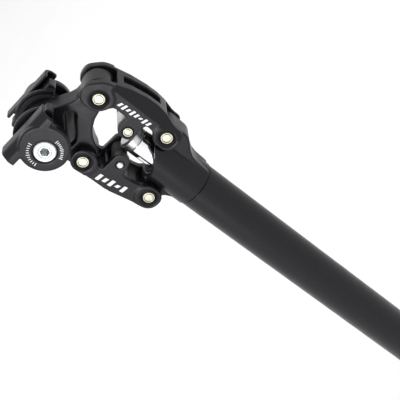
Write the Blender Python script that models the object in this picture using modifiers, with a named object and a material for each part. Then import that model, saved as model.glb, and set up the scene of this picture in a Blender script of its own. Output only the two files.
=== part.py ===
"""Suspension seatpost: a parallelogram of two links over a spring plunger, on a 27.2 mm tube.

The numbers are millimetres and MM turns them into metres. +Z runs up the tube, +X points forwards,
-Y is the side of the clamp bolt's head, and the origin is the centre of the tube's lower end.
Heights in the head, the links and the clamp are measured from the seam between tube and head.
"""

from math import atan2, cos, degrees, pi, radians, sin, sqrt, tan

import bmesh
import bpy
from mathutils import Matrix, Vector

MM = 0.001
GAP = 0.3

# Tube, head and seam
SEAM = 245.0
TUBE_RADIUS = 13.6
TUBE_BORE = 11.2
NECK_RADIUS = 14.1
SPIGOT_LENGTH = 30.0

# The parallelogram, as (x, height above the seam)
LINK_LENGTH = 44.5
LINK_LEAN = radians(7.4)
FRONT_LOWER = Vector((17.0, 38.0))
REAR_LOWER = Vector((-19.0, 19.5))
LINK = LINK_LENGTH * Vector((-sin(LINK_LEAN), cos(LINK_LEAN)))
FRONT_UPPER = FRONT_LOWER + LINK
REAR_UPPER = REAR_LOWER + LINK
ROLLER_PIVOT = Vector((6.0, 57.0))
BUMPER_PIVOT = Vector((-12.9, 46.5))
CLAMP_PIVOT = Vector((-25.5, 89.0))

# Widths across the links, from the middle plane
LINK_OUTSIDE = 13.0
LINK_INSIDE = 8.3
EAR_HALF = 7.0
LINK_SWEEP_RADIUS = 9.0
FRONT_EYE_RADIUS = 9.6
CLAMP_EYE_RADIUS = 12.8

# Axles, bushes and what turns on them
AXLE_RADIUS = 3.45
BUSH_RADIUS = 4.7
BUSH_FLANGE = 6.3
ROLLER_RADIUS = 5.7
ROLLER_PIN_RADIUS = 2.75
BUMPER_RADIUS = 4.5
BUMPER_PIN_RADIUS = 2.1

# Plunger and spring
PLUNGER_RADIUS = 8.0
CAP_HEIGHT = 5.5
CAP_TOP = ROLLER_PIVOT.y - ROLLER_RADIUS - GAP
GUIDE_TOP = 24.0
SPRING_RADIUS = 8.6
SPRING_WIRE = 1.7
SPRING_BOTTOM = 70.3
SPRING_TOP = 210.4
SPRING_TURNS = 14

# Saddle clamp
RAIL_RADIUS = 3.7
RAIL_SIDE = 22.0
RAIL_HEIGHT = 99.4
JAW_HALF_LENGTH = 17.6
JAW_OUTSIDE = 28.0
BOLT_RADIUS = 4.0
BOLT_HEAD_RADIUS = 6.5
SLEEVE_RADIUS = 5.6

ARC_STEP = 18.0
TURN_STEPS = 28

COLOURS = {
    "black": ((0.022, 0.021, 0.026), 0.42, 0.0),
    "steel": ((0.72, 0.71, 0.66), 0.3, 1.0),
    "zinc": ((0.83, 0.84, 0.86), 0.25, 1.0),
    "chrome": ((0.9, 0.9, 0.92), 0.06, 1.0),
    "cap": ((0.62, 0.62, 0.63), 0.35, 1.0),
    "bronze": ((0.42, 0.3, 0.16), 0.4, 1.0),
    "rubber": ((0.012, 0.012, 0.012), 0.8, 0.0),
    "plastic": ((0.05, 0.05, 0.055), 0.55, 0.0),
    "spring": ((0.3, 0.31, 0.33), 0.35, 1.0),
}


# ---------------------------------------------------------------- scene


def clear_scene():
    for obj in list(bpy.data.objects):
        bpy.data.objects.remove(obj)


def new_collection(name):
    collection = bpy.data.collections.new(name)
    bpy.context.scene.collection.children.link(collection)
    return collection


clear_scene()
PARTS = new_collection("suspension_seatpost")
CUTTERS = new_collection("cutters")


def finish_of(obj, colour):
    rgb, roughness, metallic = COLOURS[colour]
    material = bpy.data.materials.new(obj.name)
    material.use_nodes = True
    shader = material.node_tree.nodes["Principled BSDF"]
    shader.inputs["Base Color"].default_value = (*rgb, 1.0)
    shader.inputs["Roughness"].default_value = roughness
    shader.inputs["Metallic"].default_value = metallic
    obj.data.materials.clear()
    obj.data.materials.append(material)


def pivot(name, point, parent=None, height=SEAM):
    """An empty on a joint's axis. Posing it moves every piece of its body."""
    empty = bpy.data.objects.new(name, None)
    empty.empty_display_size = 10 * MM
    PARTS.objects.link(empty)
    world = Vector((point[0], 0, height + point[1])) * MM
    empty["at"] = world
    empty.location = world
    if parent:
        empty.parent = parent
        empty.matrix_parent_inverse = Matrix.Translation(-Vector(parent["at"]))
    return empty


def attach(obj, body):
    if body:
        obj.parent = body
        obj.matrix_parent_inverse = Matrix.Translation(-Vector(body["at"]))
    return obj


def piece(obj, colour, body=None):
    """Makes a finished shape one named part of a body."""
    finish_of(obj, colour)
    return attach(obj, body)


# ---------------------------------------------------------------- shapes


def as_mesh(obj):
    """Replaces a curve, or a profile with its Screw, by the mesh that it makes."""
    bpy.context.view_layer.update()
    graph = bpy.context.evaluated_depsgraph_get()
    mesh = bpy.data.meshes.new_from_object(obj.evaluated_get(graph))
    solid = bpy.data.objects.new(obj.name, mesh)
    solid.matrix_world = obj.matrix_world
    name = obj.name
    bpy.data.objects.remove(obj)
    solid.name = name
    mesh.name = name
    PARTS.objects.link(solid)
    edit = bmesh.new()
    edit.from_mesh(mesh)
    bmesh.ops.remove_doubles(edit, verts=edit.verts, dist=1e-6)
    edit.to_mesh(mesh)
    edit.free()
    mesh.shade_smooth()
    mesh.set_sharp_from_angle(angle=radians(32))
    return solid


def rounded(corners):
    """The outline through (u, v, radius) corners, each rounded by its radius as far as its edges allow."""
    outline = []
    for i, (u, v, radius) in enumerate(corners):
        here = Vector((u, v))
        to_last = Vector(corners[i - 1][:2]) - here
        to_next = Vector(corners[(i + 1) % len(corners)][:2]) - here
        room = 0.499 * min(to_last.length, to_next.length)
        to_last.normalize()
        to_next.normalize()
        half = to_last.angle(to_next) / 2
        setback = min(radius / tan(half), room)
        if setback < 0.05:
            outline.append(here)
            continue
        start = here + setback * to_last
        centre = here + (to_last + to_next).normalized() * setback / cos(half)
        sweep = (start - centre).angle_signed(here + setback * to_next - centre)
        steps = max(1, round(degrees(abs(sweep)) / ARC_STEP))
        for k in range(steps + 1):
            outline.append(centre + Matrix.Rotation(-sweep * k / steps, 2) @ (start - centre))
    return outline


def extruded(name, outline, low, high, rotation, along):
    """A flat outline given thickness from low to high along one axis."""
    curve = bpy.data.curves.new(name, "CURVE")
    curve.dimensions = "2D"
    curve.fill_mode = "BOTH"
    curve.extrude = abs(high - low) / 2 * MM
    spline = curve.splines.new("POLY")
    spline.points.add(len(outline) - 1)
    for point, (u, v) in zip(spline.points, outline):
        point.co = (u * MM, v * MM, 0, 1)
    spline.use_cyclic_u = True
    obj = bpy.data.objects.new(name, curve)
    PARTS.objects.link(obj)
    obj.rotation_euler = rotation
    obj.location = Vector(along) * (low + high) / 2 * MM
    return obj


def plate(name, corners, low, high, height=SEAM):
    """A plate that faces sideways: (x, height) corners, from low to high along Y."""
    obj = extruded(name, rounded(corners), low, high, (pi / 2, 0, 0), (0, 1, 0))
    obj.location.z += height * MM
    return as_mesh(obj)


def bar(name, corners, low, high, height=SEAM):
    """A bar that lies fore and aft: its (y, height) section, from low to high along X."""
    obj = extruded(name, rounded(corners), low, high, (pi / 2, 0, pi / 2), (1, 0, 0))
    obj.location.z += height * MM
    return as_mesh(obj)


def slab(name, corners, low, high, height=SEAM):
    """A slab that faces upwards: its (x, y) outline, from low to high along Z."""
    obj = extruded(name, rounded(corners), low, high, (0, 0, 0), (0, 0, 1))
    obj.location.z += height * MM
    return as_mesh(obj)


def turned(name, profile, rotation=(0, 0, 0), at=(0, 0, 0), steps=TURN_STEPS):
    """A turned shape. The (radius, place) profile runs down the outside, and back up a bore."""
    mesh = bpy.data.meshes.new(name)
    edit = bmesh.new()
    verts = [edit.verts.new((radius * MM, 0, place * MM)) for radius, place in profile]
    for first, second in zip(verts, verts[1:]):
        edit.edges.new((first, second))
    if profile[0][0] > 0:
        edit.edges.new((verts[-1], verts[0]))
    edit.to_mesh(mesh)
    edit.free()
    obj = bpy.data.objects.new(name, mesh)
    PARTS.objects.link(obj)
    screw = obj.modifiers.new("turn", "SCREW")
    screw.steps = screw.render_steps = steps
    screw.use_merge_vertices = True
    screw.merge_threshold = 1e-5
    obj.rotation_euler = rotation
    obj.location = Vector(at) * MM
    return as_mesh(obj)


def upright(name, profile, height=0.0, steps=TURN_STEPS):
    """A turned shape on the post's axis."""
    return turned(name, profile, at=(0, 0, height), steps=steps)


def crosswise(name, profile, at, steps=TURN_STEPS):
    """A turned shape on an axis that crosses the links at the (x, height) point at."""
    return turned(name, profile, (-pi / 2, 0, 0), (at[0], 0, SEAM + at[1]), steps)


def rod(radius, low, high, chamfer=0.0):
    """The profile of a solid round rod."""
    if not chamfer:
        return [(0, high), (radius, high), (radius, low), (0, low)]
    return [
        (0, high),
        (radius - chamfer, high),
        (radius, high - chamfer),
        (radius, low + chamfer),
        (radius - chamfer, low),
        (0, low),
    ]


def sleeve(outer, inner, low, high):
    """The profile of a plain sleeve."""
    return [(outer, high), (outer, low), (inner, low), (inner, high)]


def spool(bore, recess, half_width, depth):
    """The profile of a bore through both plates with a cone at each mouth."""
    return [
        (0, half_width + 1),
        (recess + 1, half_width + 1),
        (recess, half_width),
        (bore, half_width - depth),
        (bore, depth - half_width),
        (recess, -half_width),
        (recess + 1, -half_width - 1),
        (0, -half_width - 1),
    ]


def combine(obj, other, operation):
    modifier = obj.modifiers.new(other.name, "BOOLEAN")
    modifier.operation = operation
    modifier.solver = "EXACT"
    modifier.object = other
    PARTS.objects.unlink(other)
    CUTTERS.objects.link(other)
    other.hide_render = True
    other.display_type = "WIRE"
    return other


def cut(obj, cutter, body=None):
    attach(combine(obj, cutter, "DIFFERENCE"), body)


def join(obj, other, body=None):
    attach(combine(obj, other, "UNION"), body)


def mirrored(corners, side):
    """The section's corners on the left (side 1) or on the right (side -1)."""
    if side > 0:
        return corners
    return [(-u, v, radius) for u, v, radius in reversed(corners)]


def span(side, near, far):
    """Low and high along Y of a stretch from near to far of the middle plane, on one side."""
    return (near, far) if side > 0 else (-far, -near)


def side_name(side):
    return "left" if side > 0 else "right"


# ---------------------------------------------------------------- post


def make_post_tube():
    tube = upright("post_tube", sleeve(TUBE_RADIUS, TUBE_BORE, 0, SEAM - GAP / 2), steps=40)
    return piece(tube, "black")


def make_post_head():
    spigot = TUBE_BORE - GAP
    profile = [
        (0, 46),
        (NECK_RADIUS, 46),
        (NECK_RADIUS, GAP / 2),
        (spigot, GAP / 2),
        (spigot, 1 - SPIGOT_LENGTH),
        (spigot - 1, -SPIGOT_LENGTH),
        (0, -SPIGOT_LENGTH),
    ]
    head = upright("post_head", profile, SEAM, steps=40)
    rim = [
        (30, 60, 0),
        (-30, 60, 0),
        (-30, 28.6, 0),
        (-6, 28.8, 8),
        (2, 34.2, 30),
        (9.5, 40.2, 8),
        (30, 52, 0),
    ]
    cut(head, plate("head_rim_cutter", rim, -20, 20))
    for side in (-1, 1):
        low, high = span(side, EAR_HALF - 0.1, 16)
        name = f"head_link_clearance_{side_name(side)}"
        cut(head, crosswise(name, rod(LINK_SWEEP_RADIUS, low, high), FRONT_LOWER))
    front_ear = [
        (24.4, 45.4, 7.4),
        (9.6, 45.4, 7.4),
        (9.0, 2, 0),
        (13.6, 2, 0),
        (14.6, 16, 14),
        (23.4, 26.5, 6),
    ]
    join(head, plate("head_front_ear", front_ear, -EAR_HALF, EAR_HALF))
    rear_ear = [
        (-8, 27.0, 0),
        (-26.0, 26.5, 7),
        (-26.0, 12.5, 7),
        (-15.0, 12.4, 4),
        (-12.2, 6.0, 0),
        (-8, 6.0, 0),
    ]
    join(head, plate("head_rear_ear", rear_ear, 0.01 - EAR_HALF, EAR_HALF - 0.01))
    cut(head, upright("head_guide_bore", rod(9.3, -SPIGOT_LENGTH - 5, 60), SEAM))
    cut(head, upright("head_pocket", rod(10.8, GUIDE_TOP, 61), SEAM))
    for name, point in (("front", FRONT_LOWER), ("rear", REAR_LOWER)):
        bore = rod(BUSH_RADIUS + GAP, -20, 20)
        cut(head, crosswise(f"head_{name}_axle_bore", bore, point))
    return piece(head, "black")


def make_guide():
    bush = [
        (10.4, GUIDE_TOP + 3),
        (10.4, GUIDE_TOP + GAP),
        (9.0, GUIDE_TOP + GAP),
        (9.0, -20),
        (PLUNGER_RADIUS + GAP, -20),
        (PLUNGER_RADIUS + GAP, GUIDE_TOP + 3),
    ]
    piece(upright("guide_bush", bush, SEAM), "bronze")
    wiper = [
        (9.0, GUIDE_TOP + 5.6),
        (10.4, GUIDE_TOP + 4.6),
        (10.4, GUIDE_TOP + 3.3),
        (PLUNGER_RADIUS + GAP, GUIDE_TOP + 3.3),
        (PLUNGER_RADIUS + GAP, GUIDE_TOP + 5.6),
    ]
    piece(upright("dust_wiper", wiper, SEAM), "rubber")


def spring_height(turn):
    """Height of the coil's centre line. Its first and last turn lie almost closed."""
    closed = 2 * SPRING_WIRE + 0.4
    length = SPRING_TOP - SPRING_BOTTOM - 2 * SPRING_WIRE
    open_turns = SPRING_TURNS - 2
    pitch = (length - 2 * closed) / open_turns
    rise = closed * min(turn, 1) + pitch * min(max(turn - 1, 0), open_turns)
    rise += closed * max(turn - 1 - open_turns, 0)
    return SPRING_BOTTOM + SPRING_WIRE + rise


def make_coil_spring():
    curve = bpy.data.curves.new("coil_spring", "CURVE")
    curve.dimensions = "3D"
    curve.bevel_depth = SPRING_WIRE * MM
    curve.bevel_resolution = 1
    curve.use_fill_caps = True
    per_turn = 10
    count = SPRING_TURNS * per_turn + 1
    spline = curve.splines.new("POLY")
    spline.points.add(count - 1)
    for k, point in enumerate(spline.points):
        turn = k / per_turn
        angle = 2 * pi * turn
        x = SPRING_RADIUS * cos(angle)
        y = SPRING_RADIUS * sin(angle)
        point.co = (x * MM, y * MM, spring_height(turn) * MM, 1)
    coil = bpy.data.objects.new("coil_spring", curve)
    PARTS.objects.link(coil)
    return piece(as_mesh(coil), "spring")


def make_bushes(label, point, body=None):
    """The pair of flanged bushes that an axle turns in."""
    bore = AXLE_RADIUS + GAP
    for side in (-1, 1):
        profile = [
            (BUSH_FLANGE, 8.0),
            (BUSH_FLANGE, EAR_HALF + GAP),
            (BUSH_RADIUS, EAR_HALF + GAP),
            (BUSH_RADIUS, GAP),
            (bore, GAP),
            (bore, 8.0),
        ]
        if side < 0:
            profile = [(radius, -place) for radius, place in reversed(profile)]
        bush = crosswise(f"{label}_bush_{side_name(side)}", profile, point, steps=24)
        piece(bush, "bronze", body)


# ---------------------------------------------------------------- plunger and preload


def make_plunger(body):
    profile = [
        (0, CAP_TOP - CAP_HEIGHT - GAP),
        (PLUNGER_RADIUS, CAP_TOP - CAP_HEIGHT - GAP),
        (PLUNGER_RADIUS, -12.5),
        (PLUNGER_RADIUS - 0.5, -13),
        (5.5, -13),
        (5.5, 30),
        (0, 32),
    ]
    piece(upright("plunger", profile, SEAM, steps=32), "chrome", body)
    cap = rod(PLUNGER_RADIUS, CAP_TOP - CAP_HEIGHT, CAP_TOP, 0.8)
    piece(upright("plunger_cap", cap, SEAM, steps=32), "cap", body)
    stem_top = -13 - GAP
    flange_top = -SPIGOT_LENGTH - GAP
    follower = [
        (0, stem_top),
        (7.5, stem_top),
        (7.5, flange_top),
        (10.6, flange_top),
        (10.6, flange_top - 4),
        (6.4, flange_top - 4),
        (6.4, flange_top - 9),
        (5.6, flange_top - 10),
        (0, flange_top - 10),
    ]
    piece(upright("spring_follower", follower, SEAM), "plastic", body)


def make_preload(carrier, plug_body):
    seat = [
        (0, 76),
        (5.6, 76),
        (6.4, 75),
        (6.4, 70),
        (10.6, 70),
        (10.6, 66),
        (7.0, 64),
        (7.0, 28),
        (10.6, 26),
        (10.6, 23.1),
        (0, 23.1),
    ]
    piece(upright("spring_seat", seat), "plastic", carrier)
    piece(upright("thrust_washer", sleeve(10.5, 3.0, 21.3, 22.8)), "steel", carrier)
    plug = upright("preload_plug", rod(TUBE_BORE - GAP, 3, 21, 0.8))
    socket = upright("plug_hex_socket", rod(8 / sqrt(3), 0, 12), steps=6)
    cut(plug, socket, plug_body)
    piece(plug, "zinc", plug_body)


# ---------------------------------------------------------------- links


def make_axle(name, radius, half_length, point, colour, body):
    profile = rod(radius, -half_length, half_length, 0.4)
    piece(crosswise(name, profile, point, steps=24), colour, body)


def make_front_link(body):
    outline = [
        (3.6, 79.5, 5),
        (3.9, 91.6, 8),
        (14.0, 93.4, 6),
        (21.6, 86.4, 9),
        (27.6, 66.0, 40),
        (28.0, 50.0, 20),
        (24.4, 38.0, 8),
        (24.4, 30.6, 7.3),
        (9.6, 30.6, 7.3),
        (10.4, 42.6, 5),
        (15.2, 47.0, 3),
        (15.6, 52.3, 1.6),
        (1.2, 52.2, 4.8),
        (1.4, 63.0, 5),
        (12.5, 63.4, 1.6),
        (12.6, 73.6, 4),
        (8.0, 75.6, 6),
    ]
    link = plate("front_link", outline, -LINK_OUTSIDE, LINK_OUTSIDE)
    channel = [
        (-8, 20, 0),
        (40, 20, 0),
        (40, 45.6, 0),
        (22.8, 45.6, 1.5),
        (24.4, 53, 10),
        (23.9, 65.5, 30),
        (20.8, 79.2, 2),
        (40, 79.6, 0),
        (40, 105, 0),
        (-8, 105, 0),
    ]
    cut(link, plate("front_link_channel", channel, -LINK_INSIDE, LINK_INSIDE), body)
    window = [(15, 51.4, 0), (40, 51.4, 0), (40, 75.4, 0), (15, 75.4, 0)]
    cut(link, plate("front_link_window", window, -3.6, 3.6), body)
    for side in (-1, 1):
        bevel = [(19.6, side * 13.2, 0), (32, side * 13.2, 0), (32, side * 6.0, 0)]
        name = f"front_link_bevel_{side_name(side)}"
        cut(link, slab(name, bevel, 20, 80.5), body)
    bore = spool(AXLE_RADIUS + GAP, 5.8, LINK_OUTSIDE, 2.0)
    cut(link, crosswise("front_link_upper_bore", bore, FRONT_UPPER), body)
    cut(link, crosswise("front_link_lower_bore", bore, FRONT_LOWER), body)
    small_bore = spool(ROLLER_PIN_RADIUS + GAP, 4.0, LINK_OUTSIDE, 0.9)
    cut(link, crosswise("front_link_roller_bore", small_bore, ROLLER_PIVOT), body)
    piece(link, "black", body)
    make_axle("front_upper_axle", AXLE_RADIUS, 12.4, FRONT_UPPER, "steel", body)
    make_axle("front_lower_axle", AXLE_RADIUS, 12.4, FRONT_LOWER, "steel", body)
    make_axle("roller_pin", ROLLER_PIN_RADIUS, 12.6, ROLLER_PIVOT, "steel", body)


def make_roller(body):
    half = LINK_INSIDE - 0.6
    roller = [
        (ROLLER_RADIUS - 0.5, half),
        (ROLLER_RADIUS, half - 0.5),
        (ROLLER_RADIUS, 0.5 - half),
        (ROLLER_RADIUS - 0.5, -half),
        (4.2, -half),
        (4.2, half),
    ]
    piece(crosswise("roller", roller, ROLLER_PIVOT), "cap", body)
    bush = sleeve(3.9, ROLLER_PIN_RADIUS + GAP, -half, half)
    piece(crosswise("roller_bush", bush, ROLLER_PIVOT, steps=24), "bronze", body)


def make_rear_link(body):
    outline = [
        (-31.8, 71.0, 8),
        (-17.3, 71.0, 7.2),
        (-17.3, 59.0, 6),
        (-21.4, 55.4, 2.5),
        (-20.6, 52.3, 1),
        (-6.4, 52.2, 4.5),
        (-6.6, 43.6, 4),
        (-12.4, 41.6, 2),
        (-17.4, 40.8, 2),
        (-16.6, 29, 12),
        (-12.1, 24.0, 5),
        (-12.1, 12.5, 6.9),
        (-25.4, 12.5, 6.9),
        (-27.6, 27, 30),
        (-30.6, 42, 20),
        (-30.4, 53, 20),
    ]
    link = plate("rear_link", outline, -LINK_OUTSIDE, LINK_OUTSIDE)
    channel = [
        (-45, 5, 0),
        (5, 5, 0),
        (5, 85, 0),
        (-45, 85, 0),
        (-45, 51, 0),
        (-19, 51, 2),
        (-19, 33.5, 2),
        (-45, 33.5, 0),
    ]
    cut(link, plate("rear_link_channel", channel, -LINK_INSIDE, LINK_INSIDE), body)
    pocket = [(-45, 37, 0), (-22.6, 37, 2), (-22.6, 47.6, 2), (-45, 47.6, 0)]
    cut(link, plate("rear_link_pocket", pocket, -6.5, 6.5), body)
    bore = spool(AXLE_RADIUS + GAP, 5.8, LINK_OUTSIDE, 2.0)
    cut(link, crosswise("rear_link_upper_bore", bore, REAR_UPPER), body)
    cut(link, crosswise("rear_link_lower_bore", bore, REAR_LOWER), body)
    pin_bore = rod(BUMPER_PIN_RADIUS + GAP, -20, 20)
    cut(link, crosswise("rear_link_pin_bore", pin_bore, BUMPER_PIVOT, steps=24), body)
    piece(link, "black", body)
    make_axle("rear_upper_axle", AXLE_RADIUS, 12.4, REAR_UPPER, "steel", body)
    make_axle("rear_lower_axle", AXLE_RADIUS, 12.4, REAR_LOWER, "steel", body)
    make_axle("bumper_pin", BUMPER_PIN_RADIUS, 13.2, BUMPER_PIVOT, "steel", body)
    half = LINK_INSIDE - GAP
    bumper = sleeve(BUMPER_RADIUS, BUMPER_PIN_RADIUS + GAP, -half, half)
    piece(crosswise("bumper", bumper, BUMPER_PIVOT, steps=24), "rubber", body)


# ---------------------------------------------------------------- saddle head and clamp


def make_saddle_head(body):
    outline = [
        (13.0, 91.0, 0),
        (13.0, 76.0, 0),
        (9.3, 75.8, 0),
        (-2.1, 74.5, 23.5),
        (-11.6, 68.1, 23.5),
        (-17.4, 56.3, 7.2),
        (-32.0, 56.3, 7.2),
        (-32.0, 71.5, 5),
        (-38.1, 80.0, 8),
        (-38.1, 90.0, 0),
        (-25.5, 97.0, 0),
        (-19.3, 100.1, 0),
        (1.0, 88.8, 12),
    ]
    head = plate("saddle_head", outline, -EAR_HALF, EAR_HALF)
    face = EAR_HALF - 0.01
    for name, radius, point in (
        ("front", FRONT_EYE_RADIUS, FRONT_UPPER),
        ("clamp", CLAMP_EYE_RADIUS, CLAMP_PIVOT),
    ):
        eye = rod(radius, -face, face)
        join(head, crosswise(f"saddle_head_{name}_eye", eye, point, steps=40), body)
    recess = [
        (-4.5, 84.5, 4),
        (-9.0, 81.5, 6),
        (-15.5, 75.5, 6),
        (-19.5, 72.8, 3),
        (-27.0, 73.2, 3),
        (-12.0, 86.5, 14),
        (-9.0, 89.5, 3),
    ]
    for side in (-1, 1):
        low, high = span(side, 3.4, EAR_HALF + 2)
        name = f"saddle_head_recess_{side_name(side)}"
        cut(head, plate(name, recess, low, high), body)
    bush_bore = rod(BUSH_RADIUS + GAP, -20, 20)
    cut(head, crosswise("saddle_head_front_bore", bush_bore, FRONT_UPPER), body)
    cut(head, crosswise("saddle_head_rear_bore", bush_bore, REAR_UPPER), body)
    bolt_bore = rod(BOLT_RADIUS + GAP, -20, 20)
    cut(head, crosswise("saddle_head_bolt_bore", bolt_bore, CLAMP_PIVOT), body)
    return piece(head, "black", body)


def cut_rail(jaw, side, body):
    """Cuts the round channel of a saddle rail, with a narrow flat at its bottom and at its top."""
    channel = [
        (
            side * (RAIL_SIDE + RAIL_RADIUS * cos(angle)),
            RAIL_HEIGHT + RAIL_RADIUS * sin(angle),
            0,
        )
        for angle in (radians(15 + 30 * k) for k in range(12))
    ]
    cut(jaw, bar(f"{jaw.name}_rail", channel, -60, 10), body)


def half_disc(radius):
    """Corners of a disc round the clamp bolt, cut off level below the rail channels."""
    angles = (radians(24 + 11 * k) for k in range(13))
    middle = CLAMP_PIVOT
    return [(middle.x + radius * cos(a), middle.y + radius * sin(a), 0) for a in angles]


def stepped_bore(side, inner, step, outer):
    """The cutter's profile of a bore that widens, on one side, beyond a step."""
    profile = [(0, 40), (outer, 40), (outer, step), (inner, step), (inner, -2), (0, -2)]
    if side > 0:
        return profile
    return [(radius, -place) for radius, place in reversed(profile)]


def make_inner_jaw(side, body):
    name = f"inner_jaw_{side_name(side)}"
    middle = CLAMP_PIVOT.x
    ends = (middle - JAW_HALF_LENGTH, middle + JAW_HALF_LENGTH)
    block = [
        (ends[0], 101.6, 1.5),
        (ends[0], 97.0, 1),
        (middle - 11.5, 94.0, 3),
        (middle - 9.5, 80.0, 4),
        (middle + 9.5, 80.0, 4),
        (middle + 11.5, 94.0, 3),
        (ends[1], 97.0, 1),
        (ends[1], 101.6, 1.5),
    ]
    jaw = plate(name, block, *span(side, 10.6, 21.6))
    for label, radius, near, far in (("step", 14.9, 7.3, 9.2), ("flange", 18.1, 8.8, 11.2)):
        arch = plate(f"{name}_{label}", half_disc(radius), *span(side, near, far))
        join(jaw, arch, body)
    cut_rail(jaw, side, body)
    bore = stepped_bore(side, BOLT_RADIUS + GAP, 11.9, SLEEVE_RADIUS + GAP)
    cut(jaw, crosswise(f"{name}_bore", bore, CLAMP_PIVOT, steps=24), body)
    return piece(jaw, "black", body)


def make_outer_jaw(side, body):
    name = f"outer_jaw_{side_name(side)}"
    middle = CLAMP_PIVOT.x
    section = [
        (16.5, 104.8, 0.6),
        (24.5, 104.8, 3.5),
        (JAW_OUTSIDE, 100.5, 3),
        (JAW_OUTSIDE, 96.6, 0),
        (22.4, 96.6, 0),
        (22.4, 103.0, 0),
        (16.5, 103.0, 0.5),
    ]
    ends = (middle - JAW_HALF_LENGTH, middle + JAW_HALF_LENGTH)
    jaw = bar(name, mirrored(section, side), *ends)
    disc = rod(14.3, *span(side, 22.4, JAW_OUTSIDE - 0.01), 0.8)
    disc_centre = CLAMP_PIVOT + Vector((1.3, 1.4))
    join(jaw, crosswise(f"{name}_disc", disc, disc_centre, steps=40), body)
    if side < 0:
        hub = rod(SLEEVE_RADIUS, *span(side, 12.2, 23.0))
        join(jaw, crosswise(f"{name}_hub", hub, CLAMP_PIVOT, steps=24), body)
    cut_rail(jaw, side, body)
    inside = BOLT_RADIUS + GAP if side < 0 else SLEEVE_RADIUS + GAP
    bore = stepped_bore(side, inside, 23.9, BOLT_HEAD_RADIUS + 0.2)
    cut(jaw, crosswise(f"{name}_bore", bore, CLAMP_PIVOT), body)
    return piece(jaw, "black", body)


def make_clamp_bolt(body):
    profile = [
        (0, 21.0),
        (BOLT_RADIUS - 0.6, 21.0),
        (BOLT_RADIUS, 20.4),
        (BOLT_RADIUS, -24.2),
        (BOLT_HEAD_RADIUS - 0.1, -24.2),
        (BOLT_HEAD_RADIUS - 0.1, -27.4),
        (BOLT_HEAD_RADIUS - 0.8, -28.2),
        (0, -28.2),
    ]
    bolt = crosswise("clamp_bolt", profile, CLAMP_PIVOT)
    socket = rod(5 / sqrt(3), -30, -25.2)
    cut(bolt, crosswise("bolt_hex_socket", socket, CLAMP_PIVOT, steps=6), body)
    piece(bolt, "zinc", body)


def make_clamp_nut(body):
    profile = [
        (BOLT_HEAD_RADIUS - 0.8, 28.2),
        (BOLT_HEAD_RADIUS - 0.1, 27.4),
        (BOLT_HEAD_RADIUS - 0.1, 24.2),
        (SLEEVE_RADIUS, 24.2),
        (SLEEVE_RADIUS, 12.2),
        (BOLT_RADIUS + GAP, 12.2),
        (BOLT_RADIUS + GAP, 28.2),
    ]
    piece(crosswise("clamp_nut", profile, CLAMP_PIVOT), "zinc", body)


# ---------------------------------------------------------------- assembly


def main():
    front_link = pivot("front_link_pivot", FRONT_LOWER)
    rear_link = pivot("rear_link_pivot", REAR_LOWER)
    saddle_head = pivot("saddle_head_pivot", FRONT_UPPER, front_link)
    clamp = pivot("clamp_tilt_axis", CLAMP_PIVOT, saddle_head)
    roller = pivot("roller_axis", ROLLER_PIVOT, front_link)
    plunger = pivot("plunger_axis", (0, CAP_TOP))
    carrier = pivot("preload_slide_axis", (0, 0), height=23.1)
    plug = pivot("preload_plug_axis", (0, 0), carrier, height=3)

    make_post_tube()
    make_post_head()
    make_guide()
    make_coil_spring()
    make_bushes("lower_front", FRONT_LOWER)
    make_bushes("lower_rear", REAR_LOWER)
    make_plunger(plunger)
    make_preload(carrier, plug)
    make_front_link(front_link)
    make_roller(roller)
    make_rear_link(rear_link)
    make_saddle_head(saddle_head)
    make_bushes("upper_front", FRONT_UPPER, saddle_head)
    make_bushes("upper_rear", REAR_UPPER, saddle_head)
    for side in (-1, 1):
        make_inner_jaw(side, clamp)
        make_outer_jaw(side, clamp)
    make_clamp_bolt(clamp)
    make_clamp_nut(clamp)


main()
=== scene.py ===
"""Looks of the suspension seatpost: forged black links and clamp, turned pins, chrome plunger.

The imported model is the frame. Pieces that replace a CAD node take their places from its box, so the
numbers below are small details, in millimetres, and MM turns them into metres.
"""

from math import cos, degrees, pi, radians, sin, sqrt, tan

import bmesh
import bpy
from mathutils import Matrix, Vector


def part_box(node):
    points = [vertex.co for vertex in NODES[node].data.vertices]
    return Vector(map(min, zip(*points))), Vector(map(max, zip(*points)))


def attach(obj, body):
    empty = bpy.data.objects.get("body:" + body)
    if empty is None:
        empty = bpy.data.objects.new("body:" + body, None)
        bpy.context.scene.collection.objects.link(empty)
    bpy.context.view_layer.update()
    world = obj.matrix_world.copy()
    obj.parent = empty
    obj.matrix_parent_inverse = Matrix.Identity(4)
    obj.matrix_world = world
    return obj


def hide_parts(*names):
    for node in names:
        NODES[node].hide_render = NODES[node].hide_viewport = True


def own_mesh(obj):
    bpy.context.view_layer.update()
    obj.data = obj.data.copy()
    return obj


MM = 0.001
SIDES = (("left", 1), ("right", -1))

# The view: where the camera looks, from how far, and how it is turned
TARGET = Vector((-6.5, 0, 234.2)) * MM
DISTANCE = 595.4 * MM
AZIMUTH = radians(23.32)
ELEVATION = radians(25.79)
ROLL = radians(-53.83)
LENS = 90.2

# Forged surfaces: the size of their skin's cells, and how many smoothing passes round each off
VOXEL = 0.32
LINK_PASSES = 12
POST_HEAD_PASSES = 18
SADDLE_HEAD_PASSES = 28
INNER_JAW_PASSES = 12
OUTER_JAW_PASSES = 16

# The links' sides are sunk between their bosses, and the post's neck is thicker than its tube
WAIST_DEPTH = 0.5
WAIST_RADIUS = 8.6
NECK_STEP = 0.5

# Turned pieces
TUBE_WALL = 2.4
ROLLER_BORE = 4.2
PIN_RIM = 0.75
PIN_RECESS = 2.0
CLEARANCE = 0.3

# The plunger's blind hole, from below
PLUNGER_HOLE = 5.5
PLUNGER_HOLE_DEPTH = 43

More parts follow.
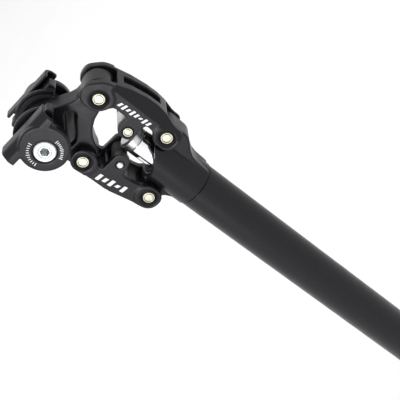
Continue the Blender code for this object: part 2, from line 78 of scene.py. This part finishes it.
# Clamp bolt and its sleeve nut
BOLT_SHANK = 4.0
BOLT_HEAD = 6.4
BOLT_HEAD_HEIGHT = 4.0
BOLT_DISH = 3.9
SOCKET_ACROSS = 5.0
SOCKET_DEPTH = 6.5
NUT_BORE = 4.3
NUT_SLEEVE = 5.6

# Coil spring
WIRE_RADIUS = 1.7
SPRING_TURNS = 14
POINTS_PER_TURN = 28

# Printed marks reach from a little under their surface to a hair above it
PRINT_SUNK = 0.15
PRINT_PROUD = 0.04
BAR_SLANT = 1.2
TICK_RING = 9.2
TICKS = 11
TICK_WIDTH = 0.42

# Stage
FLOOR_SIZE = 12
FLOOR_DROP = 0.5
SKY_STRENGTH = 0.94

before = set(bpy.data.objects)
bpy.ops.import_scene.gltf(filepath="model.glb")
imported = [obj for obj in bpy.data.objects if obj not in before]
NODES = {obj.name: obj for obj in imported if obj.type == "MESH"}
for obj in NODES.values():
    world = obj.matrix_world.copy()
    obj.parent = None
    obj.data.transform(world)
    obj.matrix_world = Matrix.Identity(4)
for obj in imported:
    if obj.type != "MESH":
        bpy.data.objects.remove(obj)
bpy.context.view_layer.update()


# ---------------------------------------------------------------- materials


def new_material(name, colour, roughness, metallic=0.0, **sockets):
    """A Principled material. Its plain values are set on the shader's own sockets."""
    material = bpy.data.materials.new(name)
    material.use_nodes = True
    shader = material.node_tree.nodes["Principled BSDF"]
    shader.inputs["Base Color"].default_value = (*colour, 1.0)
    shader.inputs["Roughness"].default_value = roughness
    shader.inputs["Metallic"].default_value = metallic
    for label, value in sockets.items():
        shader.inputs[label.replace("_", " ")].default_value = value
    return material


def coordinates(material, stretch=(1, 1, 1)):
    tree = material.node_tree
    places = tree.nodes.new("ShaderNodeTexCoord")
    mapping = tree.nodes.new("ShaderNodeMapping")
    mapping.inputs["Scale"].default_value = stretch
    tree.links.new(places.outputs["Object"], mapping.inputs["Vector"])
    return mapping.outputs["Vector"]


def noise(material, size, detail=3.0, stretch=(1, 1, 1)):
    """Procedural noise whose blotches are about size millimetres across."""
    tree = material.node_tree
    texture = tree.nodes.new("ShaderNodeTexNoise")
    texture.inputs["Scale"].default_value = 1 / (size * MM)
    texture.inputs["Detail"].default_value = detail
    tree.links.new(coordinates(material, stretch), texture.inputs["Vector"])
    return texture.outputs["Fac"]


def spread(material, value, low, high, start=0.3, end=0.7):
    """The value's range from start to end spread from low to high."""
    tree = material.node_tree
    node = tree.nodes.new("ShaderNodeMapRange")
    node.inputs["From Min"].default_value = start
    node.inputs["From Max"].default_value = end
    node.inputs["To Min"].default_value = low
    node.inputs["To Max"].default_value = high
    tree.links.new(value, node.inputs["Value"])
    return node.outputs["Result"]


def blended(material, value, first, second):
    """A colour between first and second, by the value."""
    tree = material.node_tree
    ramp = tree.nodes.new("ShaderNodeValToRGB")
    ramp.color_ramp.elements[0].color = (*first, 1)
    ramp.color_ramp.elements[1].color = (*second, 1)
    tree.links.new(value, ramp.inputs["Fac"])
    return ramp.outputs["Color"]


def into(material, socket, value):
    shader = material.node_tree.nodes["Principled BSDF"]
    material.node_tree.links.new(value, shader.inputs[socket])


def bumped(material, value, height):
    """Raises the surface by the value, up to height millimetres."""
    tree = material.node_tree
    bump = tree.nodes.new("ShaderNodeBump")
    bump.inputs["Distance"].default_value = height * MM
    tree.links.new(value, bump.inputs["Height"])
    into(material, "Normal", bump.outputs["Normal"])


def edge_wear_and_highlight(material, plain, worn_and_lit):
    """Lightens the convex edges: partly wear, where handling polishes the anodising, and partly a
    painted highlight along the rounded edges.
    """
    tree = material.node_tree
    geometry = tree.nodes.new("ShaderNodeNewGeometry")
    edges = spread(material, geometry.outputs["Pointiness"], 0, 1, 0.52, 0.60)
    worn_and_lit_edges = tree.nodes.new("ShaderNodeMath")
    worn_and_lit_edges.operation = "MULTIPLY"
    tree.links.new(edges, worn_and_lit_edges.inputs[0])
    tree.links.new(spread(material, noise(material, 2.5), 0.2, 1.0), worn_and_lit_edges.inputs[1])
    into(material, "Base Color", blended(material, worn_and_lit_edges.outputs[0], plain, worn_and_lit))


def satin_black(name, colour, roughness):
    """Bead-blasted, anodised aluminium."""
    material = new_material(name, colour, roughness, Specular_IOR_Level=0.22)
    # The edge colour is lighter than the faces: partly wear, partly a painted highlight.
    worn_and_lit = tuple(2.6 * part for part in colour)
    edge_wear_and_highlight(material, colour, worn_and_lit)
    cloudy = noise(material, 6.0)
    into(material, "Roughness", spread(material, cloudy, roughness - 0.05, roughness + 0.06))
    bumped(material, noise(material, 0.45, 4.0), 0.018)
    return material


def turned_metal(name, colour, roughness, ring=0.35):
    """Turned steel, with fine tool marks round the axis of a crosswise pin."""
    material = new_material(name, colour, roughness, 1.0)
    tree = material.node_tree
    rings = tree.nodes.new("ShaderNodeTexNoise")
    rings.noise_dimensions = "1D"
    rings.inputs["Scale"].default_value = 1 / ring
    grain = noise(material, 0.8)
    tree.links.new(spread(material, grain, 0, 8), rings.inputs["W"])
    dull = tuple(0.82 * part for part in colour)
    into(material, "Base Color", blended(material, noise(material, 1.6), dull, colour))
    polish = spread(material, rings.outputs["Fac"], roughness - 0.05, roughness + 0.1)
    into(material, "Roughness", polish)
    bumped(material, noise(material, 0.5), 0.01)
    return material


def polished_chrome():
    material = new_material("polished_chrome", (0.86, 0.87, 0.88), 0.06, 1.0)
    scratches = noise(material, 0.6, 2.0, (1, 1, 0.05))
    into(material, "Roughness", spread(material, scratches, 0.04, 0.12))
    return material


def plated_spring():
    material = new_material("phosphated_wire", (0.3, 0.31, 0.33), 0.38, 1.0)
    mottled = blended(material, noise(material, 3.0), (0.2, 0.2, 0.21), (0.34, 0.35, 0.37))
    into(material, "Base Color", mottled)
    bumped(material, noise(material, 0.7), 0.01)
    return material


def sintered_bronze():
    material = new_material("sintered_bronze", (0.42, 0.3, 0.16), 0.45, 1.0)
    pores = noise(material, 0.35, 5.0)
    into(material, "Base Color", blended(material, pores, (0.26, 0.18, 0.1), (0.5, 0.36, 0.2)))
    bumped(material, pores, 0.02)
    return material


def matt_rubber():
    material = new_material("matt_rubber", (0.012, 0.012, 0.012), 0.75)
    into(material, "Roughness", spread(material, noise(material, 1.5), 0.62, 0.85))
    bumped(material, noise(material, 0.5, 4.0), 0.03)
    return material


def moulded_nylon():
    material = new_material("moulded_nylon", (0.05, 0.05, 0.055), 0.5)
    into(material, "Roughness", spread(material, noise(material, 4.0), 0.42, 0.6))
    bumped(material, noise(material, 0.6), 0.015)
    return material


def white_ink():
    """Pad-printed marks, a little uneven."""
    material = new_material("white_ink", (0.8, 0.8, 0.8), 0.5)
    uneven = blended(material, noise(material, 1.2), (0.62, 0.62, 0.62), (0.86, 0.86, 0.86))
    into(material, "Base Color", uneven)
    return material


def recess_shade_ring():
    """A near-black ring round each pin, at the bottom of its recess: painted shade in the gap between
    pin and boss.
    """
    material = new_material("painted_recess_shade", (0.012, 0.011, 0.006), 0.5)
    into(material, "Roughness", spread(material, noise(material, 1.0), 0.4, 0.65))
    return material


def backdrop():
    material = new_material("pale_floor", (0.93, 0.93, 0.93), 0.9)
    cloudy = blended(material, noise(material, 120.0), (0.91, 0.91, 0.91), (0.95, 0.95, 0.95))
    into(material, "Base Color", cloudy)
    return material


FORGED = satin_black("forged_black", (0.008, 0.0075, 0.010), 0.30)
TUBE_BLACK = satin_black("tube_black", (0.009, 0.0085, 0.011), 0.30)
PIN_STEEL = turned_metal("pin_steel", (0.56, 0.545, 0.45), 0.36)
PLATED = turned_metal("plated_steel", (0.60, 0.63, 0.64), 0.3)
GROUND = turned_metal("ground_steel", (0.66, 0.66, 0.68), 0.32)
CHROME = polished_chrome()
WIRE = plated_spring()
BRONZE = sintered_bronze()
RUBBER = matt_rubber()
NYLON = moulded_nylon()
INK = white_ink()
RECESS_SHADE = recess_shade_ring()


# ---------------------------------------------------------------- shapes


def linked(name, mesh):
    obj = bpy.data.objects.new(name, mesh)
    bpy.context.scene.collection.objects.link(obj)
    return obj


def finished(obj, material, body, slot, *nodes):
    """Gives a piece its material and its body, and says which CAD nodes it stands for."""
    obj.data.materials.clear()
    obj.data.materials.append(material)
    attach(obj, body)
    if nodes:
        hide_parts(*nodes)
    return obj


def applied(obj):
    """The object with its modifiers applied."""
    bpy.context.view_layer.update()
    graph = bpy.context.evaluated_depsgraph_get()
    mesh = bpy.data.meshes.new_from_object(obj.evaluated_get(graph))
    obj.modifiers.clear()
    obj.data = mesh
    return obj


def smooth_shaded(obj, angle=34):
    obj.data.shade_smooth()
    obj.data.set_sharp_from_angle(angle=radians(angle))
    return obj


def centre(node):
    low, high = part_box(node)
    return (low + high) / 2


def reach(node):
    """Half the node's size along each axis."""
    low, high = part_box(node)
    return (high - low) / 2


def rounded(corners, arc_step=9.0):
    """The outline through (u, v, radius) corners, each rounded as far as its edges allow."""
    outline = []
    for i, (u, v, radius) in enumerate(corners):
        here = Vector((u, v))
        to_last = Vector(corners[i - 1][:2]) - here
        to_next = Vector(corners[(i + 1) % len(corners)][:2]) - here
        room = 0.499 * min(to_last.length, to_next.length)
        half = to_last.angle(to_next) / 2
        if not radius or pi / 2 - half < 0.01:
            outline.append(here)
            continue
        to_last.normalize()
        to_next.normalize()
        setback = min(radius / tan(half), room)
        start = here + setback * to_last
        middle = here + (to_last + to_next).normalized() * setback / cos(half)
        sweep = (start - middle).angle_signed(here + setback * to_next - middle)
        steps = max(1, round(degrees(abs(sweep)) / arc_step))
        for k in range(steps + 1):
            outline.append(middle + Matrix.Rotation(-sweep * k / steps, 2) @ (start - middle))
    return outline


def turned(name, corners, at, crosswise=True, steps=96):
    """A turned piece from its section's (radius, place, rounding) corners, in millimetres from at."""
    edit = bmesh.new()
    rings = []
    for radius, place in rounded(corners):
        spokes = steps if radius > 1e-6 else 1
        turns = [2 * pi * k / steps for k in range(spokes)]
        rings.append([edit.verts.new((radius * cos(a), radius * sin(a), place)) for a in turns])
    for first, second in zip(rings, rings[1:] + rings[:1]):
        if len(first) == len(second) == 1:
            continue
        for k in range(steps):
            corner = [first[k % len(first)], first[(k + 1) % len(first)]]
            corner += [second[(k + 1) % len(second)], second[k % len(second)]]
            edit.faces.new(list(dict.fromkeys(corner)))
    bmesh.ops.recalc_face_normals(edit, faces=edit.faces)
    turn = Matrix.Rotation(-pi / 2, 4, "X") if crosswise else Matrix.Identity(4)
    edit.transform(Matrix.Translation(at) @ turn @ Matrix.Scale(MM, 4))
    mesh = bpy.data.meshes.new(name)
    edit.to_mesh(mesh)
    edit.free()
    return smooth_shaded(linked(name, mesh))


def solid_outline(name, outline, low, high):
    """A closed plate from an (x, z) outline in metres, from low to high along Y."""
    edit = bmesh.new()
    verts = [edit.verts.new((x, low, z)) for x, z in outline]
    face = edit.faces.new(verts)
    grown = bmesh.ops.extrude_face_region(edit, geom=[face])
    moved = [item for item in grown["geom"] if isinstance(item, bmesh.types.BMVert)]
    bmesh.ops.translate(edit, verts=moved, vec=(0, high - low, 0))
    bmesh.ops.recalc_face_normals(edit, faces=edit.faces)
    mesh = bpy.data.meshes.new(name)
    edit.to_mesh(mesh)
    edit.free()
    return linked(name, mesh)


def subtract(obj, cutter):
    modifier = obj.modifiers.new(cutter.name, "BOOLEAN")
    modifier.operation = "DIFFERENCE"
    modifier.solver = "EXACT"
    modifier.object = cutter
    applied(obj)
    bpy.data.objects.remove(cutter)


def copy_of(node, name):
    """A piece with the CAD node's shape, its loose corners welded."""
    mesh = NODES[node].data.copy()
    edit = bmesh.new()
    edit.from_mesh(mesh)
    bmesh.ops.remove_doubles(edit, verts=edit.verts, dist=1e-6)
    edit.to_mesh(mesh)
    edit.free()
    return linked(name, mesh)


def trued(obj, axis, at, radius, within=0.16):
    """Moves the points within a hair of a cylinder onto it, so that its facets disappear."""
    across = [i for i in range(3) if i != "XYZ".index(axis)]
    for vertex in obj.data.vertices:
        arm = Vector([vertex.co[i] - at[i] for i in across])
        if abs(arm.length - radius * MM) < within * MM:
            arm *= radius * MM / arm.length
            for i, place in zip(across, arm):
                vertex.co[i] = at[i] + place


def forged(node, body, passes, reliefs=(), cylinders=()):
    """The CAD shape as a forging: an even fine skin with its edges and inner corners rounded off."""
    obj = copy_of(node, f"{node}_forging")
    for cutter in reliefs:
        subtract(obj, cutter)
    skin = obj.modifiers.new("skin", "REMESH")
    skin.mode = "VOXEL"
    skin.voxel_size = VOXEL * MM
    soften = obj.modifiers.new("soften", "SMOOTH")
    soften.factor = 0.5
    soften.iterations = passes
    applied(obj)
    for axis, at, radius in cylinders:
        trued(obj, axis, at, radius)
    obj.data.shade_smooth()
    return finished(obj, FORGED, body, "black_alloy", node)


# ---------------------------------------------------------------- forgings


def waist(name, upper, lower, side, face):
    """Cutter that sinks a link's side between its two bosses, leaving a round step at each."""
    radius = WAIST_RADIUS * MM
    far = 30 * MM
    under = [radians(200 + 10 * k) for k in range(15)]
    over = [radians(20 + 10 * k) for k in range(15)]
    outline = [(upper.x + radius * cos(a), upper.z + radius * sin(a)) for a in under]
    outline += [(upper.x + far, outline[-1][1]), (lower.x + far, lower.z + radius * sin(over[0]))]
    outline += [(lower.x + radius * cos(a), lower.z + radius * sin(a)) for a in over]
    outline += [(lower.x - far, outline[-1][1]), (upper.x - far, outline[0][1])]
    low, high = sorted((side * (face - WAIST_DEPTH * MM), side * (face + 2 * MM)))
    return solid_outline(f"{name}_waist_{side}", outline, low, high)


def make_link(node, body, upper, lower):
    face = reach(node).y
    above, below = centre(upper), centre(lower)
    cutters = [waist(node, above, below, side, face) for _, side in SIDES]
    forged(node, body, LINK_PASSES, reliefs=cutters)


def make_forgings():
    make_link("front_link", "front_link", "front_upper_axle", "front_lower_axle")
    make_link("rear_link", "rear_link", "rear_upper_axle", "rear_lower_axle")
    neck = ("Z", Vector((0, 0, 0)), reach("post_tube").x / MM + NECK_STEP)
    forged("post_head", "post", POST_HEAD_PASSES, cylinders=[neck])
    forged("saddle_head", "saddle_head", SADDLE_HEAD_PASSES)
    for name, _ in SIDES:
        forged(f"inner_jaw_{name}", "clamp", INNER_JAW_PASSES)
        forged(f"outer_jaw_{name}", "clamp", OUTER_JAW_PASSES)


# ---------------------------------------------------------------- turned pieces


def make_tube():
    low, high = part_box("post_tube")
    radius = high.x / MM
    length = (high.z - low.z) / MM
    bore = radius - TUBE_WALL
    corners = [
        (radius, length, 0.35),
        (radius, 0, 0.6),
        (bore, 0, 0.4),
        (bore, length, 0.2),
    ]
    tube = turned("tube_shell", corners, Vector((0, 0, low.z)), crosswise=False, steps=160)
    finished(tube, TUBE_BLACK, "post", "black_alloy", "post_tube")


def pin_corners(radius, half):
    """A pin with a raised rim and a shallow ring groove on each end."""
    inner = radius - PIN_RIM
    end = [
        (0, half - 0.25, 0),
        (inner - 0.5, half - 0.25, 0.1),
        (inner - 0.35, half - 0.8, 0.05),
        (inner - 0.05, half - 0.8, 0.05),
        (inner + 0.15, half, 0.15),
        (radius, half, 0.35),
    ]
    return end + [(r, -place, rounding) for r, place, rounding in reversed(end)]


def make_pins():
    for node, body in (
        ("front_upper_axle", "front_link"),
        ("front_lower_axle", "front_link"),
        ("roller_pin", "front_link"),
        ("rear_upper_axle", "rear_link"),
        ("rear_lower_axle", "rear_link"),
    ):
        size = reach(node) / MM
        pin = turned(f"{node}_turned", pin_corners(size.x, size.y), centre(node), steps=72)
        finished(pin, PIN_STEEL, body, "pin_steel", node)
        # Near-black rings at the pin ends are painted shade in the recesses.
        make_recess_shade_rings(node, body, size)


def make_recess_shade_rings(node, body, size):
    """A dark ring round each end of a pin, sunk in the link's recess: painted shade in the gap round
    the pin.
    """
    for name, side in SIDES:
        depth = size.y - PIN_RECESS
        section = [
            (size.x + 0.08, depth, 0),
            (size.x + 0.2, depth, 0),
            (size.x + 0.55, depth + 0.5, 0.1),
            (size.x + 0.08, depth + 0.7, 0.1),
        ]
        corners = [(radius, side * place, rounding) for radius, place, rounding in section]
        ring = turned(f"{node}_recess_shade_{name}", corners, centre(node), steps=72)
        finished(ring, RECESS_SHADE, body, "rubber")


def make_bumper():
    size = reach("bumper_pin") / MM
    dome = [
        (0, size.y, 0),
        (size.x, size.y, 1.1),
        (size.x, -size.y, 1.1),
        (0, -size.y, 0),
    ]
    pin = turned("bumper_rivet", dome, centre("bumper_pin"), steps=64)
    finished(pin, PLATED, "rear_link", "pin_steel", "bumper_pin")
    size = reach("bumper") / MM
    bore = reach("bumper_pin").x / MM + CLEARANCE
    corners = [
        (size.x, size.y, 0.8),
        (size.x, -size.y, 0.8),
        (bore, -size.y, 0),
        (bore, size.y, 0),
    ]
    bumper = turned("rubber_bumper", corners, centre("bumper"), steps=64)
    finished(bumper, RUBBER, "rear_link", "rubber", "bumper")


def make_plunger():
    low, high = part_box("plunger")
    radius = high.x / MM
    length = (high.z - low.z) / MM
    rod = [
        (0, length, 0),
        (radius, length, 0.3),
        (radius, 0, 0.6),
        (PLUNGER_HOLE, 0, 0),
        (PLUNGER_HOLE, PLUNGER_HOLE_DEPTH, 0),
        (0, PLUNGER_HOLE_DEPTH + 2, 0),
    ]
    shaft = turned("chrome_plunger", rod, Vector((0, 0, low.z)), crosswise=False)
    finished(shaft, CHROME, "plunger", "chrome_steel", "plunger")
    low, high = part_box("plunger_cap")
    radius = high.x / MM
    height = (high.z - low.z) / MM
    button = [
        (0, height, 0),
        (radius - 1.6, height, 0.4),
        (radius, height - 1.0, 0.5),
        (radius, 1.3, 0.1),
        (radius - 0.35, 1.1, 0.1),
        (radius - 0.35, 0.6, 0.1),
        (radius, 0.4, 0.1),
        (radius, 0, 0.2),
        (0, 0, 0),
    ]
    cap = turned("plunger_button", button, Vector((0, 0, low.z)), crosswise=False)
    finished(cap, GROUND, "plunger", "grey_steel", "plunger_cap")


def make_roller():
    size = reach("roller") / MM
    corners = [
        (size.x, size.y, 0.7),
        (size.x, -size.y, 0.7),
        (ROLLER_BORE, -size.y, 0.2),
        (ROLLER_BORE, size.y, 0.2),
    ]
    roller = turned("ground_roller", corners, centre("roller"))
    finished(roller, GROUND, "roller", "grey_steel", "roller")


def make_wiper():
    """The wiper's double lip, which shows round the plunger."""
    low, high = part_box("dust_wiper")
    radius = high.x / MM
    height = (high.z - low.z) / MM
    bore = reach("plunger").x / MM + 0.15
    corners = [
        (radius, 0, 0),
        (bore + 0.25, 0, 0.1),
        (bore + 0.6, height * 0.4, 0.1),
        (bore, height, 0.1),
        (bore + 0.5, height, 0.1),
        (radius - 0.9, height * 0.6, 0.3),
        (radius, height * 0.6, 0.2),
    ]
    wiper = turned("wiper_lip", corners, Vector((0, 0, low.z)), crosswise=False)
    finished(wiper, RUBBER, "post", "rubber", "dust_wiper")


def hex_cutter(name, at, across, low, high):
    """A six-sided cutter along Y, across millimetres between its flats."""
    arm = across / sqrt(3) * MM
    outline = [(at.x + arm * cos(pi * k / 3), at.z + arm * sin(pi * k / 3)) for k in range(6)]
    return solid_outline(name, outline, low * MM, high * MM)


def make_bolt():
    at = centre("clamp_bolt")
    pivot = Vector((at.x, 0, at.z))
    low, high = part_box("clamp_bolt")
    head, tip = low.y / MM, high.y / MM
    corners = [
        (0, tip, 0),
        (BOLT_SHANK, tip, 0.6),
        (BOLT_SHANK, head + BOLT_HEAD_HEIGHT, 0),
        (BOLT_HEAD, head + BOLT_HEAD_HEIGHT, 0.2),
        (BOLT_HEAD, head + 0.6, 0.3),
        (BOLT_HEAD - 0.7, head, 0.2),
        (BOLT_DISH, head, 0.2),
        (BOLT_DISH - 0.6, head + 0.5, 0.2),
        (0, head + 0.5, 0),
    ]
    bolt = turned("clamp_bolt_turned", corners, pivot)
    subtract(bolt, hex_cutter("bolt_socket", pivot, SOCKET_ACROSS, head - 1, head + SOCKET_DEPTH))
    finished(smooth_shaded(bolt), PLATED, "clamp", "plated_steel", "clamp_bolt")
    low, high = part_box("clamp_nut")
    near, far = low.y / MM, high.y / MM
    corners = [
        (NUT_BORE, far, 0.2),
        (BOLT_HEAD - 0.7, far, 0.2),
        (BOLT_HEAD, far - 0.7, 0.3),
        (BOLT_HEAD, far - BOLT_HEAD_HEIGHT, 0.1),
        (NUT_SLEEVE, far - BOLT_HEAD_HEIGHT, 0),
        (NUT_SLEEVE, near, 0.2),
        (NUT_BORE, near, 0.2),
    ]
    nut = turned("clamp_nut_turned", corners, pivot)
    finished(nut, PLATED, "clamp", "plated_steel", "clamp_nut")


# ---------------------------------------------------------------- spring


def coil(name, first, turns, low, length, radius):
    """The wire of some turns, from turn number first, of a coil that is length tall above low."""
    wire = WIRE_RADIUS * MM
    curve = bpy.data.curves.new(name, "CURVE")
    curve.dimensions = "3D"
    curve.bevel_depth = wire
    curve.bevel_resolution = 3
    curve.use_fill_caps = True
    spline = curve.splines.new("POLY")
    spline.points.add(turns * POINTS_PER_TURN)
    for k, point in enumerate(spline.points):
        turn = first + k / POINTS_PER_TURN
        angle = 2 * pi * turn
        height = low + wire + (length - 2 * wire) * turn / SPRING_TURNS
        point.co = (radius * cos(angle), radius * sin(angle), height, 1)
    path = linked(f"{name}_curve", curve)
    bpy.context.view_layer.update()
    graph = bpy.context.evaluated_depsgraph_get()
    mesh = bpy.data.meshes.new_from_object(path.evaluated_get(graph))
    bpy.data.objects.remove(path)
    return smooth_shaded(linked(f"{name}_half", mesh), 60)


def make_spring():
    """The coil, made as a lower and an upper half, both on the post's body."""
    low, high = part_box("coil_spring")
    length = high.z - low.z
    radius = high.x - WIRE_RADIUS * MM
    half = SPRING_TURNS // 2
    for label, joint, first in (("lower", "preload_slide", 0), ("upper", "plunger_slide", half)):
        piece = coil(f"spring_{label}", first, half, low.z, length, radius)
        finished(piece, WIRE, "post", "spring_steel", "coil_spring")
        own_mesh(piece)


# ---------------------------------------------------------------- printed marks


def slanted(middle, along, length, width, slant):
    """The corners of a slanted bar round middle, whose long side crosses the direction along."""
    across = Vector((-along.y, along.x))
    lean = along * slant
    corners = []
    for u, v in ((-1, -1), (1, -1), (1, 1), (-1, 1)):
        corners.append(middle + along * u * width / 2 + across * v * length / 2 + lean * v / 2)
    return [(corner.x * MM, corner.y * MM) for corner in corners]


def print_on(name, outline, side, face, body):
    low, high = sorted((side * (face - PRINT_SUNK * MM), side * (face + PRINT_PROUD * MM)))
    mark = solid_outline(name, outline, low, high)
    return finished(mark, INK, body, "black_alloy")


def link_marks(body, start, end, lengths, width):
    """A row of slanted bars on each side of a link, between (x, height above the seam) points."""
    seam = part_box("post_tube")[1].z / MM
    face = reach(body).y - WAIST_DEPTH * MM
    along = (end - start).normalized()
    for name, side in SIDES:
        for k, length in enumerate(lengths):
            share = (k + 0.5) / len(lengths)
            middle = start.lerp(end, share) + Vector((0, seam))
            bar = slanted(middle, along, length, width, BAR_SLANT)
            print_on(f"{body}_mark_{name}_{k}", bar, side, face, body)


def make_link_marks():
    """Plain bars, in place of any lettering."""
    front_lengths = (2.6, 3.4, 2.0, 3.4, 2.6, 1.4, 3.4, 2.6)
    link_marks("front_link", Vector((16.4, 73.0)), Vector((17.3, 50.5)), front_lengths, 1.5)
    rear_lengths = (4.4, 3.0, 4.4, 2.0, 4.4)
    link_marks("rear_link", Vector((-26.6, 52.6)), Vector((-23.6, 32.6)), rear_lengths, 2.2)


def make_bolt_ticks():
    """Two arcs of fine ticks round the bolt's head, like a dial."""
    at = centre("clamp_bolt") / MM
    outer = -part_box("outer_jaw_right")[0].y
    for row, (start, end) in enumerate(((95, 185), (-75, -5))):
        for k in range(TICKS):
            angle = radians(start + (end - start) * k / (TICKS - 1))
            direction = Vector((cos(angle), sin(angle)))
            middle = Vector((at.x, at.z)) + TICK_RING * direction
            across = Vector((-direction.y, direction.x))
            bar = slanted(middle, across, 1.5 if k % 5 else 2.1, TICK_WIDTH, 0)
            print_on(f"dial_tick_{row}_{k}", bar, -1, outer, "clamp")


def make_all():
    make_forgings()
    make_tube()
    make_pins()
    make_bumper()
    make_plunger()
    make_roller()
    make_wiper()
    make_bolt()
    make_spring()
    make_link_marks()
    make_bolt_ticks()


def dress_cad_nodes():
    """The CAD nodes that stay get their own materials."""
    finishes = {
        "bush": BRONZE,
        "spring_follower": NYLON,
        "spring_seat": NYLON,
        "thrust_washer": PIN_STEEL,
        "preload_plug": PLATED,
    }
    for name, obj in NODES.items():
        for word, material in finishes.items():
            if word in name and not obj.hide_render:
                obj.data.materials.clear()
                obj.data.materials.append(material)


# ---------------------------------------------------------------- stage


def area_light(name, place, size, power, aim):
    data = bpy.data.lights.new(name, "AREA")
    data.shape = "RECTANGLE"
    data.size, data.size_y = size
    data.energy = power
    lamp = bpy.data.objects.new(name, data)
    bpy.context.scene.collection.objects.link(lamp)
    lamp.location = place
    lamp.rotation_euler = (Vector(aim) - Vector(place)).to_track_quat("-Z", "Y").to_euler()
    lamp.visible_camera = False


def make_stage():
    bpy.ops.mesh.primitive_plane_add(size=FLOOR_SIZE, location=(0, 0, -FLOOR_DROP * MM))
    floor = bpy.context.object
    floor.name = "pale_floor"
    floor.data.materials.append(backdrop())
    world = bpy.data.worlds.new("studio")
    bpy.context.scene.world = world
    world.use_nodes = True
    sky = world.node_tree.nodes["Background"]
    sky.inputs["Color"].default_value = (1, 1, 1, 1)
    sky.inputs["Strength"].default_value = SKY_STRENGTH
    head = (0, 0, 0.3)
    area_light("key", (-0.35, -1.0, 0.42), (0.16, 0.9), 6, head)
    area_light("top", (-0.6, 0.8, 1.3), (1.2, 1.2), 3, (-0.4, 0.9, 0))


def make_camera():
    toward = Vector((sin(AZIMUTH) * cos(ELEVATION), -cos(AZIMUTH) * cos(ELEVATION), sin(ELEVATION)))
    level = Vector((cos(AZIMUTH), sin(AZIMUTH), 0))
    upward = toward.cross(level)
    right = cos(ROLL) * level + sin(ROLL) * upward
    top = cos(ROLL) * upward - sin(ROLL) * level
    data = bpy.data.cameras.new("camera")
    data.lens = LENS
    data.clip_start = 0.01
    camera = bpy.data.objects.new("camera", data)
    bpy.context.scene.collection.objects.link(camera)
    axes = Matrix((right, top, toward)).transposed().to_4x4()
    camera.matrix_world = Matrix.Translation(TARGET + DISTANCE * toward) @ axes
    bpy.context.scene.camera = camera


make_all()
dress_cad_nodes()
make_stage()
make_camera()
bpy.context.scene.view_settings.view_transform = "Standard"
